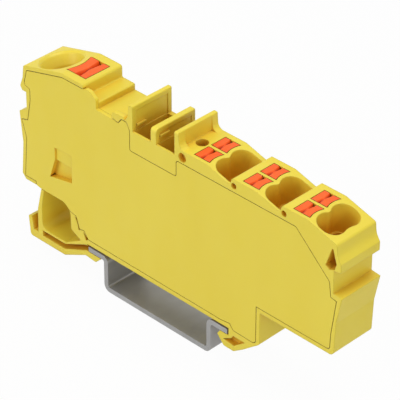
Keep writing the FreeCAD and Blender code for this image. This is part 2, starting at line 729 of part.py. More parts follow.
def bore(clamp, y, depth, to_depth):
    """Cylinder on a conductor's axis between two depths under the station's top."""
    axis = clamp.way_out()
    foot = clamp.entry_point(y) - axis * to_depth
    return Part.makeCylinder(clamp.bore_radius, to_depth - depth, foot, axis)


def taper(clamp, y, depth, radius, to_depth, to_radius):
    """Cone on a conductor's axis that narrows from one depth down to another."""
    axis = clamp.way_out()
    foot = clamp.entry_point(y) - axis * to_depth
    return Part.makeCone(to_radius, radius, to_depth - depth, foot, axis)


def input_entry():
    clamp = INPUT_CLAMP
    roof_depth = INPUT_TOP - CHAMBER_ROOF + INNER_WALL
    return [
        taper(clamp, INPUT_MIDDLE, -OVERCUT, INPUT_RIM_RADIUS + OVERCUT,
              INPUT_RIM_ROUND, INPUT_FUNNEL_RADIUS),
        taper(clamp, INPUT_MIDDLE, 0, INPUT_FUNNEL_RADIUS + INPUT_RIM_ROUND / 3,
              INPUT_THROAT_DEPTH, INPUT_THROAT_RADIUS),
        taper(clamp, INPUT_MIDDLE, INPUT_THROAT_DEPTH, INPUT_THROAT_RADIUS,
              INPUT_FUNNEL_DEPTH, INPUT_BORE_RADIUS),
        bore(clamp, INPUT_MIDDLE, INPUT_FUNNEL_DEPTH, roof_depth),
    ]


def slope_point(clamp, along, depth, across):
    """A point by its place down the slope from the funnel's middle, its depth and its row."""
    tilt = math.radians(clamp.tilt)
    x = clamp.x(FUNNEL_MIDDLE + along * math.cos(tilt) - depth * math.sin(tilt))
    height = clamp.surface(FUNNEL_MIDDLE) - along * math.sin(tilt) - depth * math.cos(tilt)
    return at(x, height, ROW_MIDDLE + across)


def two_lobes(clamp, depth, near, far, radius):
    """Funnel's edge at a depth: two round lobes with a soft notch between them on both sides."""
    narrowing = FUNNEL_REACH - OUTPUT_CLAMP_SPACING / 2 - radius
    half = OUTPUT_CLAMP_SPACING / 2

    def lobe(centre, row, start, end):
        points = []
        for angle in (start, (start + end) / 2, end):
            along = centre + radius * math.cos(angle)
            points.append(slope_point(clamp, along, depth, row * half + radius * math.sin(angle)))
        return Part.Arc(*points).toShape()

    def notch(centre, side, blend):
        reach = math.sqrt((radius + blend) ** 2 - half ** 2)
        share = radius / (radius + blend)
        along = centre + side * reach * share
        across = half * (1 - share)
        top = slope_point(clamp, centre + side * (reach - blend), depth, 0)
        ends = [slope_point(clamp, along, depth, side * row * across) for row in (-1, 1)]
        return Part.Arc(ends[0], top, ends[1]).toShape(), math.atan2(half, reach)

    def straight(row):
        ends = [slope_point(clamp, along, depth, row * (half + radius)) for along in (near, far)]
        return Part.LineSegment(*ends).toShape()

    near_notch, near_turn = notch(near, -1, FUNNEL_NEAR_BLEND + narrowing)
    far_notch, far_turn = notch(far, 1, FUNNEL_FAR_BLEND + narrowing)
    quarter = math.pi / 2
    edges = [
        lobe(near, -1, math.pi - near_turn, 3 * quarter),
        straight(-1),
        lobe(far, -1, -quarter, far_turn),
        far_notch,
        lobe(far, 1, -far_turn, quarter),
        straight(1),
        lobe(near, 1, quarter, math.pi + near_turn),
        near_notch,
    ]
    return Part.Wire(edges)


def raised(wire):
    """The space straight above a funnel's edge."""
    return Part.Face(wire).extrude(FreeCAD.Vector(0, 0, FUNNEL_RISE))


def funnel(clamp):
    lobe = FUNNEL_REACH - OUTPUT_CLAMP_SPACING / 2
    floor_lobe = OUTPUT_CLAMP_SPACING / 2
    axis = (clamp.entry - FUNNEL_MIDDLE) / math.cos(math.radians(clamp.tilt))
    edge = two_lobes(clamp, 0, FUNNEL_NEAR_LOBES, FUNNEL_FAR_LOBES, lobe)
    near_floor = axis - FUNNEL_FLOOR_SPREAD
    far_floor = axis + FUNNEL_FLOOR_SPREAD
    floor = two_lobes(clamp, FUNNEL_DEPTH, near_floor, far_floor, floor_lobe)
    return [Part.makeLoft([edge, floor], True, True), raised(edge)]


def outlet(clamp):
    """The part of a funnel that runs straight out to the next station's wall."""
    far = (STATION_PITCH - FUNNEL_MIDDLE) / math.cos(math.radians(clamp.tilt))

    def frame(depth, start, end, reach):
        corners = [(start, -reach), (end, -reach), (end, reach), (start, reach)]
        points = [slope_point(clamp, along, depth, across) for along, across in corners]
        return Part.makePolygon(points + points[:1])

    edge = frame(0, 0, far, FUNNEL_REACH)
    floor = frame(FUNNEL_DEPTH, OUTLET_FLOOR_START, OUTLET_FLOOR_END, FUNNEL_REACH - OUTLET_TAPER)
    return [Part.makeLoft([edge, floor], True, True), raised(edge)]


def output_entries():
    cuts = []
    for station in range(STATIONS):
        clamp = OUTPUT_CLAMPS[2 * station]
        cuts += funnel(clamp)
        if station < STATIONS - 1:
            cuts += outlet(clamp)
    for clamp in OUTPUT_CLAMPS:
        roof_depth = (clamp.surface(clamp.entry) - BORE_BLOCK_BOTTOM) + INNER_WALL
        cuts.append(bore(clamp, clamp.clamp_y, FUNNEL_DEPTH, roof_depth))
    return cuts


# Buttons and their shafts

def button_corners(clamp, play=0.0, travel=0.0, rise=0.0):
    """Side view of a button; play, travel and rise open it out into its shaft."""
    start = clamp.button_start - play
    end = clamp.button_start + clamp.button_length + play
    leg_start = clamp.leg_start - play
    leg_end = clamp.leg_start + clamp.leg_length + play
    face_low = clamp.top - clamp.button_face - travel
    head_low = clamp.top - clamp.head - travel
    top = clamp.top + rise
    foot = leg_bottom(clamp)
    return [
        (clamp.x(start), top),
        (clamp.x(end), top),
        (clamp.x(end), face_low),
        (clamp.x(leg_end), head_low),
        (clamp.x(leg_end), foot),
        (clamp.x(leg_start), foot),
        (clamp.x(leg_start), head_low),
        (clamp.x(start), head_low),
    ]


def leg_bottom(clamp):
    """The leg ends a little over the loop of its spring."""
    return CONTACT_TOP + 2 * clamp.loop + clamp.spring_thickness + SPRING_PLAY


def lug(clamp):
    """Catch under the chamber's roof that keeps the button in."""
    high = CHAMBER_ROOF - LUG_PLAY
    inner = clamp.x(clamp.leg_start)
    corners = [(inner, high), (clamp.x(clamp.leg_start - LUG_DEPTH), high), (inner, high - LUG_HEIGHT)]
    return plate(corners, clamp.clamp_y - clamp.leg_width / 2, clamp.clamp_y + clamp.leg_width / 2)


def button_hollow(clamp, play=0.0):
    """Round wall beside the funnel, which the button's side follows."""
    half = clamp.button_width / 2
    radius = (half ** 2 + clamp.button_hollow ** 2) / (2 * clamp.button_hollow)
    place = clamp.button_start + clamp.button_length - clamp.button_hollow + radius
    foot = at(clamp.x(place), 0, clamp.button_y)
    return Part.makeCylinder(radius - play, 2 * clamp.top, foot, FreeCAD.Vector(0, 0, 1))


def button(clamp):
    corners = button_corners(clamp)
    head_low = clamp.top - clamp.head
    body = plate(corners, clamp.button_y - clamp.button_width / 2, clamp.button_y + clamp.button_width / 2)
    far = BLOCK_WIDTH
    leg_front = clamp.clamp_y - clamp.leg_width / 2
    leg_back = clamp.clamp_y + clamp.leg_width / 2
    x_range = (clamp.x(0), clamp.x(clamp.entry))
    cuts = [
        block(x_range, (0, head_low), -far, leg_front),
        block(x_range, (0, head_low), leg_back, far),
        button_hollow(clamp),
    ]
    return body.cut(cuts).fuse(lug(clamp)).cut(tool_groove(clamp)).removeSplitter()


def tool_groove(clamp):
    """Groove across the button for a tool, wide and deep at both ends and narrow at its saddle."""
    middle = clamp.x(clamp.button_start + (clamp.button_length - clamp.button_hollow) / 2)

    def section(across, width, depth):
        floor = width * GROOVE_FLOOR_SHARE / 2
        mouth = width - floor
        low, high = clamp.top - depth, clamp.top + depth
        corners = [
            (middle - floor, low),
            (middle + floor, low),
            (middle + mouth, high),
            (middle - mouth, high),
            (middle - floor, low),
        ]
        return Part.makePolygon([at(x, height, clamp.button_y + across) for x, height in corners])

    saddle = section(0, clamp.saddle_width, clamp.saddle_depth)
    reach = clamp.button_width / 2 + BUTTON_PLAY
    halves = []
    for side in (-1, 1):
        end = section(side * reach, clamp.groove_width, clamp.groove_depth)
        halves.append(Part.makeLoft([saddle, end], True, True))
    return halves


def shaft(clamp):
    """Room for the button in the housing, over its whole travel."""
    corners = button_corners(clamp, BUTTON_PLAY, clamp.travel + BUTTON_PLAY, OVERCUT)
    half = clamp.button_width / 2 + BUTTON_PLAY
    room = plate(corners, clamp.button_y - half, clamp.button_y + half)
    return room.cut(button_hollow(clamp, BUTTON_PLAY))


# Clamping springs, contact plates and busbar

def spring(clamp):
    """Foot on the contact plate, a loop up and over, and a leg down through the window."""
    foot_x = clamp.x(clamp.loop_place + clamp.foot)
    height = CONTACT_TOP + clamp.spring_thickness / 2
    heading = 180 if clamp.hand > 0 else 0
    turn = -225 * clamp.hand
    moves = [clamp.foot, (clamp.loop, turn), clamp.spring_leg]
    return bent_strip((foot_x, height), heading, moves, clamp.spring_thickness,
                      clamp.clamp_y, clamp.spring_width)


def window(clamp):
    x_range = (clamp.x(clamp.window_start), clamp.x(clamp.window_start + clamp.window_length))
    heights = (BUSBAR_TOP - 2 * BUSBAR_THICKNESS, CONTACT_TOP)
    half = clamp.window_width / 2
    return block(x_range, heights, clamp.clamp_y - half, clamp.clamp_y + half)


def contact(clamps, middle, width):
    """Bent plate of one station: a base with a window for each clamp, and an upright wall."""
    clamp = clamps[0]
    run = clamp.window_start + clamp.window_length - clamp.contact_start
    heading = 0 if clamp.hand > 0 else 180
    moves = [run, (CONTACT_BEND, clamp.hand * (90 - clamp.tilt)), CONTACT_UPRIGHT]
    start = (clamp.x(clamp.contact_start), BUSBAR_TOP + CONTACT_THICKNESS / 2)
    bent = bent_strip(start, heading, moves, CONTACT_THICKNESS, middle, width)
    return bent.cut([window(each) for each in clamps])


def busbar_bar(play=0.0):
    """Bar under all the clamps, narrower beside the cover's pocket; play opens it to the cover."""
    left = INPUT_CLAMP.x(INPUT_CHAMBER_LENGTH - BUSBAR_END)
    right = STATION_STARTS[-1] + OUTPUT_ENTRY
    heights = (BUSBAR_TOP - BUSBAR_THICKNESS - play, BUSBAR_TOP + play)
    bars = []
    for start, end, middle, width in ((left, BUSBAR_STEP_X, INPUT_MIDDLE, INPUT_BAR_WIDTH),
                                      (BUSBAR_STEP_X, right, INSIDE_MIDDLE, BUSBAR_WIDTH)):
        front = FRONT if play else middle - width / 2
        bars.append(block((start - play, end + play), heights, front, middle + width / 2 + play))
    return bars[0].fuse(bars[1])


def jumper_hole(slot):
    middle = sum(slot) / 2
    half = JUMPER_HOLE_LENGTH / 2
    return block((middle - half, middle + half), (BUSBAR_TOP - 2 * BUSBAR_THICKNESS, CONTACT_TOP),
                 ROW_MIDDLE - JUMPER_HOLE_WIDTH / 2, ROW_MIDDLE + JUMPER_HOLE_WIDTH / 2)


def busbar():
    holes = [window(clamp) for clamp in OUTPUT_CLAMPS + [INPUT_CLAMP]]
    holes += [jumper_hole(SLOT_1), jumper_hole(SLOT_2)]
    return busbar_bar().cut(holes).removeSplitter()


# Hollows of the housing

def chamber(corners):
    return plate(corners, FRONT - OVERCUT, INSIDE_BACK)


def hollow(left, right, low, high):
    return chamber([(left, low), (left, high), (right, high), (right, low)])


def station_hollows():
    """Chamber of each station: high over the springs and lower under the block with the bores."""
    hollows = []
    for start in STATION_STARTS:
        left = start + INNER_WALL / 2
        right = start + STATION_PITCH - INNER_WALL / 2
        if start == STATION_STARTS[-1]:
            right -= RIGHT_GROOVE
        step = start + BORE_BLOCK_START
        hollows.append(chamber([
            (left, CHAMBER_FLOOR),
            (left, CHAMBER_ROOF),
            (step, CHAMBER_ROOF),
            (step, BORE_BLOCK_BOTTOM),
            (right, BORE_BLOCK_BOTTOM),
            (right, CHAMBER_FLOOR),
        ]))
    return hollows


def input_hollow():
    near = INPUT_CLAMP.x(INNER_WALL / 3)
    far = near - INPUT_CHAMBER_LENGTH
    return hollow(far, near, CHAMBER_FLOOR, CHAMBER_ROOF)


def core_hollows():
    """Pockets between the clamps that keep the moulding's walls even."""
    left = INPUT_WALL_X + INNER_WALL
    wall = FIRST_PARTITION_X - INNER_WALL / 2
    shelf = BUSBAR_TOP - BUSBAR_THICKNESS - INNER_WALL
    floor = BODY_BOTTOM + 2 * INNER_WALL
    first = STATION_STARTS[0] + INNER_WALL / 2
    foot = FOOT_FACE_X - 2 * INNER_WALL
    return [
        hollow(left, wall, BUSBAR_TOP + INNER_WALL, FLAT_TOP - 1.7 * INNER_WALL),
        hollow(left, first - INNER_WALL, floor, shelf),
        hollow(first, foot, floor, CHAMBER_FLOOR - INNER_WALL),
    ]


def jumper_wells():
    wells = []
    back = BACK - SLOT_BACK_WALL
    for slot in (SLOT_1, SLOT_2):
        wells.append(block(slot, (BUSBAR_TOP, FIRST_PARTITION_TOP), FRONT + SLOT_FRONT_WALL, back))
        wells.append(block(slot, (BUSBAR_TOP, COVER_SLOT_TOP), FRONT, back))
    return wells


# Partitions of the jumper slots

def front_round(x_range, top, radius):
    """What comes off a partition's top corner at the front."""
    left, right = x_range
    corner = block(x_range, (top - radius, top), FRONT, FRONT + radius)
    centre = at(left, top - radius, FRONT + radius)
    roller = Part.makeCylinder(radius, right - left, centre, FreeCAD.Vector(1, 0, 0))
    return corner.cut(roller)


def panel(x, top):
    """Shallow sunk panel in a partition's right face."""
    heights = (SLOT_WALL_TOP, top - PANEL_DROP)
    return block((x - PANEL_DEPTH, x), heights, FRONT + PANEL_MARGIN, BACK - PANEL_MARGIN)


def rib(x, height):
    """Small rib across a partition's right face."""
    front = FRONT + SLOT_BACK_WALL
    return block((x - PANEL_DEPTH, x + RIB_PROUD), (height, height + RIB_HEIGHT), front, front + RIB_LENGTH)


def partition_cuts():
    room = (LAST_PARTITION_X, STATION_STARTS[0] + LAST_PARTITION_FOOT)
    heights = (STATION_TOP, LAST_PARTITION_TOP)
    return [
        front_round((SLOT_1[1], SLOT_2[0]), MIDDLE_PARTITION_TOP, MIDDLE_PARTITION_ROUND),
        front_round((SLOT_2[1], STATION_STARTS[0]), LAST_PARTITION_TOP, LAST_PARTITION_ROUND),
        panel(SLOT_1[0], FIRST_PARTITION_TOP),
        panel(SLOT_2[0], MIDDLE_PARTITION_TOP),
        block(room, heights, FRONT + GUSSET_FRONT, BACK - GUSSET_BACK),
    ]


def partition_ribs():
    return [rib(SLOT_1[0], SLOT_WALL_TOP + 2 * RIB_HEIGHT), rib(SLOT_2[0], SLOT_WALL_TOP + 3 * RIB_HEIGHT)]


# Latching foot

def foot_windows():
    """Pockets of the latching foot, one from each side of a thin web."""
    bottom = LATCH_BOTTOM + LATCH_BAR + LATCH_BAR_GAP + LATCH_UPPER_BAR
    arm_x = LATCH_ELBOW_X + LATCH_ARM
    corners = [
        (LATCH_ROOT_X + 0.6, WINDOW_TOP, SOFT_EDGE),
        (WINDOW_RIGHT_X - 1.5, WINDOW_TOP, WINDOW_ROUND),
        (WINDOW_RIGHT_X, WINDOW_TOP - 1.3, WINDOW_ROUND),
        (WINDOW_RIGHT_X + 0.1, 1.7, 0.6),
        (LEFT_POCKET_X - 1.65, 0.4, 0.2),
        (LATCH_BEND_X + 0.4, bottom, 0.5),
        (arm_x, bottom, SOFT_EDGE),
        (arm_x, 2.8, 1.0),
    ]
    return [
        plate(corners, FRONT, FRONT + WINDOW_DEPTH),
        plate(corners, FRONT + WINDOW_DEPTH + WINDOW_WEB, BACK),
    ]


def latch_slot():
    low = LATCH_BOTTOM + LATCH_BAR
    high = low + LATCH_BAR_GAP
    left = LATCH_ELBOW_X + LATCH_ARM
    corners = [
        (left, low),
        (left, high),
        (LATCH_BEND_X + 0.2, high, 0.5),
        (LEFT_POCKET_X - 0.4, 0.1),
        (LEFT_POCKET_X + 0.1, 0.1),
        (LEFT_POCKET_X + 0.1, HOOK_TOP),
        (LEFT_POCKET_X - 0.3, HOOK_TOP),
        (LATCH_BEND_X, low, 0.5),
    ]
    return plate(corners, FRONT - OVERCUT, BACK + OVERCUT)


def latch_slits():
    """Two short slits between the latch's inner arm and the body, which let it bend."""
    x = LEFT_POCKET_X
    upper = [
        (x - 3.1, 5.0),
        (x - 2.5, 3.9),
        (x - 2.2, 2.6),
        (x - 1.9, 2.45),
        (x - 2.0, 3.5),
        (x - 2.6, 4.85),
    ]
    lower = [
        (x - 1.0, 2.8),
        (x - 0.65, 1.9),
        (x - 0.3, 1.1),
        (x + 0.45, 1.65),
        (x - 0.15, 2.0),
    ]
    return [plate(upper, FRONT, BACK), plate(lower, FRONT, BACK)]


# Small openings of the housing

def tongue_slit():
    outer = END_X + RIGHT_NOSE - TONGUE_THICKNESS
    corners = [
        (END_X - 0.9, TONGUE_SLIT_TOP, 0.15),
        (outer, RIGHT_NOSE_TOP - 0.4, SOFT_EDGE),
        (outer - 0.4, RIGHT_GROOVE_TOP + 0.2, 0.15),
        (outer - 1.5, RIGHT_GROOVE_TOP - 0.2, 0.15),
        (outer - 2.4, RIGHT_GROOVE_TOP + 0.3, 0.15),
    ]
    return plate(corners, FRONT - OVERCUT, BACK + OVERCUT)


def foot_recess():
    x = FOOT_HEEL_X
    corners = [
        (x - 4.75, FOOT_BOTTOM + 1.45),
        (x - 2.75, FOOT_BOTTOM + 2.55),
        (x - 2.4, FOOT_BOTTOM + 3.25),
        (x + 0.5, FOOT_BOTTOM + 3.25),
        (x - FOOT_HEEL_SLOPE, FOOT_BOTTOM + 1.15),
    ]
    return plate(corners, FRONT - OVERCUT, FRONT + FOOT_RECESS_DEPTH)


def station_holes():
    test_foot = at(STATION_STARTS[0] + TEST_HOLE_OFFSET, CHAMBER_ROOF, TEST_HOLE_Y)
    depth = LAST_PARTITION_TOP - CHAMBER_ROOF
    holes = [Part.makeCylinder(TEST_HOLE_RADIUS, depth, test_foot, FreeCAD.Vector(0, 0, 1))]
    for station, start in enumerate(STATION_STARTS):
        radius = SIDE_HOLE_RADIUS if station else FIRST_SIDE_HOLE_RADIUS
        offset = SIDE_HOLE_OFFSET if station else FIRST_SIDE_HOLE_OFFSET
        centre = at(start + offset, SIDE_HOLE_HEIGHT, FRONT)
        holes.append(Part.makeCylinder(radius, SIDE_HOLE_DEPTH, centre, FreeCAD.Vector(0, 1, 0)))
    return holes


def front_lug():
    right = FIRST_PARTITION_X - LUG_GAP
    left = right - LUG_LENGTH
    corners = [
        (left - 0.3, FLAT_TOP - 0.3),
        (left, LUG_TOP, 0.6),
        (right, LUG_TOP, 0.6),
        (right + 0.6, FLAT_TOP + 0.9),
        (right + 0.6, FLAT_TOP - 0.3),
    ]
    return plate(corners, FRONT, FRONT + LUG_THICKNESS)


def housing():
    body = plate(housing_corners(), FRONT, BACK).fuse(front_lug())
    cuts = [cover_recess(), input_hollow(), latch_slot(), tongue_slit(), foot_recess()]
    cuts += [busbar_bar(BUSBAR_PLAY)] + foot_windows() + latch_slits() + partition_cuts()
    cuts += station_hollows() + core_hollows() + jumper_wells()
    cuts += input_entry() + output_entries() + station_holes()
    cuts += [shaft(clamp) for clamp in OUTPUT_CLAMPS + [INPUT_CLAMP]]
    return body.cut(cuts).fuse(partition_ribs()).removeSplitter()


# Cover

def side_cover():
    skin = plate(cover_corners(), FRONT, INSIDE_FRONT)
    pad_x = (POCKET_LEFT_X - POCKET_PAD, POCKET_RIGHT_X + POCKET_PAD)
    pad_heights = (POCKET_BOTTOM - POCKET_PAD, POCKET_TOP + POCKET_PAD)
    pad = block(pad_x, pad_heights, INSIDE_FRONT, FRONT + POCKET_DEEP + POCKET_FLOOR)
    left = POCKET_LEFT_X + POCKET_SLANT
    shallow = [
        (POCKET_RIGHT_X, POCKET_TOP + 0.1),
        (POCKET_RIGHT_X, POCKET_STEP),
        (left, POCKET_STEP),
        (left, POCKET_TOP - 0.1),
    ]
    deep = [
        (POCKET_RIGHT_X, POCKET_STEP + 0.1),
        (POCKET_RIGHT_X - 0.1, POCKET_BOTTOM + POCKET_SILL),
        (POCKET_LEFT_X, POCKET_BOTTOM),
        (left - 0.1, POCKET_STEP),
        (left, POCKET_STEP + 0.1),
    ]
    cuts = [plate(shallow, FRONT, FRONT + POCKET_SHALLOW), plate(deep, FRONT, FRONT + POCKET_DEEP)]
    return skin.fuse(pad).cut(cuts).removeSplitter()


def pieces():
    found = {
        "housing": housing(),
        "side_cover": side_cover(),
        "din_rail": din_rail(),
        "busbar": busbar(),
        "input_contact": contact([INPUT_CLAMP], INPUT_MIDDLE, INPUT_BAR_WIDTH),
        "input_spring": spring(INPUT_CLAMP),
        "input_button": button(INPUT_CLAMP),
    }
    for station in range(STATIONS):
        pair = OUTPUT_CLAMPS[2 * station:2 * station + 2]
        found["output_contact_%d" % (station + 1)] = contact(pair, INSIDE_MIDDLE, CONTACT_WIDTH)
    for number, clamp in enumerate(OUTPUT_CLAMPS, start=1):
        found["output_spring_%d" % number] = spring(clamp)
        found["output_button_%d" % number] = button(clamp)
    return found


os.makedirs("parts", exist_ok=True)
for name, shape in pieces().items():
    box = shape.BoundBox
    print("%-18s solids %d volume %8.2f valid %s x %.2f..%.2f y %.2f..%.2f z %.2f..%.2f" % (
        name, len(shape.Solids), shape.Volume, shape.isValid(),
        box.XMin, box.XMax, box.YMin, box.YMax, box.ZMin, box.ZMax))
    shape.exportStep("parts/%s.step" % name)
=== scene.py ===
import math

import bmesh
import bpy
from mathutils import Euler, Matrix


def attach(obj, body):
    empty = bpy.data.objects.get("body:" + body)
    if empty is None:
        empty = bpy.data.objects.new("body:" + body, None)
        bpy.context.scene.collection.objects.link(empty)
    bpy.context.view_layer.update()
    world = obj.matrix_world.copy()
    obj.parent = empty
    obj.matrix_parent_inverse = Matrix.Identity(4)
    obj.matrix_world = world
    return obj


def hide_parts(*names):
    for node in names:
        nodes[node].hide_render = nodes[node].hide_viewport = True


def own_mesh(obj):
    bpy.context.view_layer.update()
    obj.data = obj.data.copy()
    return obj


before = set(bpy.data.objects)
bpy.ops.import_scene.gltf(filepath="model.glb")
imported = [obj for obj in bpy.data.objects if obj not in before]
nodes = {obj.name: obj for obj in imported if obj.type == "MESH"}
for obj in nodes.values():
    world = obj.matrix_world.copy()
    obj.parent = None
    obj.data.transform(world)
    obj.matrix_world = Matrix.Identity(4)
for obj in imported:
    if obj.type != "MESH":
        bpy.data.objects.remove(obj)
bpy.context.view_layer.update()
scene = bpy.context.scene
scene.view_settings.view_transform = "Standard"

MM = 0.001


# Colours, written as linear light
YELLOW = (0.80, 0.650, 0.062, 1.0)
YELLOW_DEEP = (0.78, 0.620, 0.050, 1.0)
# Painted shade: the deeper, oranger colour given to hollows in the yellow plastic
YELLOW_PAINTED_HOLLOW_SHADE = (0.77, 0.390, 0.018, 1.0)
# Painted shade: the near-black colour given to narrow gaps between yellow pieces
YELLOW_PAINTED_GAP_SHADE = (0.090, 0.042, 0.002, 1.0)
ORANGE = (0.95, 0.135, 0.010, 1.0)
ORANGE_DEEP = (0.90, 0.105, 0.007, 1.0)
# Painted shade: the deeper, redder colour given to hollows in the orange buttons
ORANGE_PAINTED_HOLLOW_SHADE = (0.70, 0.045, 0.004, 1.0)
# Painted shade: the near-black colour given to narrow gaps beside the orange buttons
ORANGE_PAINTED_GAP_SHADE = (0.060, 0.004, 0.001, 1.0)
ZINC = (0.375, 0.371, 0.364, 1.0)
ZINC_DULL = (0.315, 0.312, 0.307, 1.0)
COPPER = (0.72, 0.38, 0.24, 1.0)
COPPER_DULL = (0.55, 0.27, 0.17, 1.0)
TIN = (0.66, 0.65, 0.62, 1.0)
TIN_DULL = (0.50, 0.49, 0.47, 1.0)
STEEL = (0.56, 0.55, 0.53, 1.0)
STEEL_DULL = (0.40, 0.40, 0.39, 1.0)
FLOOR_PAINT = (0.62, 0.62, 0.61, 1.0)
WHITE = (1.0, 1.0, 1.0, 1.0)

# How far round itself a surface looks for shelter, and the shares of open sky between which its colour
# goes from the shade painted into hollows and gaps to its own
HOLLOW_SHADE_REACH = 6.0 * MM
HOLLOW_SHADE_SKY = (0.08, 0.86)
GAP_SHADE_REACH = 0.6 * MM
YELLOW_GAP_SHADE_SKY = (0.20, 0.46)
ORANGE_GAP_SHADE_SKY = (0.36, 0.72)
SHELTER_SAMPLES = 8

# Marks on the finishes, in waves a metre, and the part of the noise's range that they use
NOISE_RANGE = (0.3, 0.7)
FLOW_MARKS = 90.0
FLOW_STRETCH = (1.0, 1.0, 0.35)
PLASTIC_PATCHES = 260.0
PLASTIC_GRAIN = 5200.0
PLASTIC_GRAIN_DEPTH = 0.04 * MM
METAL_PATCHES = 180.0
DRAWN_LINES = 900.0
DRAWN_LINE_DEPTH = 0.03 * MM
DRAWN_LINE_STRENGTH = 0.25

# Roughness, gloss and inner light of the plastic, and roughness along the lines of the metal
PLASTIC_ROUGHNESS = (0.40, 0.50)
PLASTIC_GLOSS = 0.36
INNER_LIGHT = 0.06
INNER_LIGHT_REACH = (1.2 * MM, 0.8 * MM, 0.3 * MM)
LINE_SMOOTHER = 0.06
LINE_ROUGHER = 0.08

# Roundings that the light sees on the edges
MOULDING_EDGE = 0.28 * MM
COVER_EDGE = 0.12 * MM
BUTTON_EDGE = 0.18 * MM
METAL_EDGE = 0.08 * MM
EDGE_SAMPLES = 6


def node(tree, kind, **inputs):
    """A new node with its named inputs set."""
    made = tree.nodes.new(kind)
    for name, value in inputs.items():
        made.inputs[name.replace("_", " ")].default_value = value
    return made


def new_material(name):
    """An empty material, with a shader that is joined to its output."""
    material = bpy.data.materials.new(name)
    material.use_nodes = True
    tree = material.node_tree
    tree.nodes.clear()
    output = node(tree, "ShaderNodeOutputMaterial")
    shader = node(tree, "ShaderNodeBsdfPrincipled")
    tree.links.new(shader.outputs["BSDF"], output.inputs["Surface"])
    return material, tree, shader


def object_noise(tree, waves, detail, roughness, stretch=None):
    """Noise on object coordinates, with that many waves a metre."""
    coordinates = node(tree, "ShaderNodeTexCoord")
    noise = node(tree, "ShaderNodeTexNoise", Scale=waves, Detail=detail, Roughness=roughness)
    source = coordinates.outputs["Object"]
    if stretch:
        mapping = node(tree, "ShaderNodeMapping", Scale=stretch)
        tree.links.new(source, mapping.inputs["Vector"])
        source = mapping.outputs["Vector"]
    tree.links.new(source, noise.inputs["Vector"])
    return noise.outputs["Fac"]


def spread(tree, source, between, low=0.0, high=1.0):
    """The source's range between two values, spread to run from low to high."""
    least, most = between
    made = node(tree, "ShaderNodeMapRange", From_Min=least, From_Max=most, To_Min=low, To_Max=high)
    tree.links.new(source, made.inputs["Value"])
    return made.outputs["Result"]


def unshaded_share(tree, reach, sky):
    """Nothing deep in hollows or gaps, and one where a surface lies open: the mask by which shade is
    painted into hollows and gaps.
    """
    shelter = node(tree, "ShaderNodeAmbientOcclusion", Distance=reach)
    shelter.samples = SHELTER_SAMPLES
    return spread(tree, shelter.outputs["AO"], sky)


def colour_socket(sockets, name):
    """The colour socket of that name, on a node that has one for each kind of value."""
    return [socket for socket in sockets if socket.name == name and socket.type == "RGBA"][0]


def mix_colours(tree, share, first, second):
    """The first colour going over into the second, which may be another node's."""
    mix = node(tree, "ShaderNodeMix")
    mix.data_type = "RGBA"
    colour_socket(mix.inputs, "A").default_value = first
    if isinstance(second, bpy.types.NodeSocket):
        tree.links.new(second, colour_socket(mix.inputs, "B"))
    else:
        colour_socket(mix.inputs, "B").default_value = second
    tree.links.new(share, mix.inputs["Factor"])
    return colour_socket(mix.outputs, "Result")


def relief(tree, height, depth, strength, edge):
    """Fine relief over edges that the light sees as rounded."""
    rounded = node(tree, "ShaderNodeBevel", Radius=edge)
    rounded.samples = EDGE_SAMPLES
    bump = node(tree, "ShaderNodeBump", Strength=strength, Distance=depth)
    tree.links.new(height, bump.inputs["Height"])
    tree.links.new(rounded.outputs["Normal"], bump.inputs["Normal"])
    return bump.outputs["Normal"]


def moulded_plastic(name, colour, deep, painted_hollow_shade, painted_gap_shade, gap_shade_sky, edge, grain):
    """Spark-eroded moulded plastic: fine matt grain, slow flow marks, softly rounded edges, and shade
    painted into its hollows as a deeper, oranger colour. Narrow gaps between pieces have dark shade
    painted into them, in the colour given for that."""
    material, tree, shader = new_material(name)
    flow = object_noise(tree, FLOW_MARKS, detail=2.0, roughness=0.5, stretch=FLOW_STRETCH)
    skin = mix_colours(tree, spread(tree, flow, NOISE_RANGE), colour, deep)
    # Shade painted into hollows, where a surface sees little open sky
    skin = mix_colours(tree, unshaded_share(tree, HOLLOW_SHADE_REACH, HOLLOW_SHADE_SKY), painted_hollow_shade, skin)
    # Shade painted into narrow gaps between pieces
    skin = mix_colours(tree, unshaded_share(tree, GAP_SHADE_REACH, gap_shade_sky), painted_gap_shade, skin)
    tree.links.new(skin, shader.inputs["Base Color"])
    patches = object_noise(tree, PLASTIC_PATCHES, detail=3.0, roughness=0.55)
    roughness = spread(tree, patches, NOISE_RANGE, *PLASTIC_ROUGHNESS)
    tree.links.new(roughness, shader.inputs["Roughness"])
    fine = object_noise(tree, PLASTIC_GRAIN, detail=2.0, roughness=0.6)
    surface = relief(tree, fine, PLASTIC_GRAIN_DEPTH, grain, edge)
    tree.links.new(surface, shader.inputs["Normal"])
    shader.inputs["Specular IOR Level"].default_value = PLASTIC_GLOSS
    shader.inputs["Subsurface Weight"].default_value = INNER_LIGHT
    shader.inputs["Subsurface Radius"].default_value = INNER_LIGHT_REACH
    shader.inputs["Subsurface Scale"].default_value = 1.0
    return material


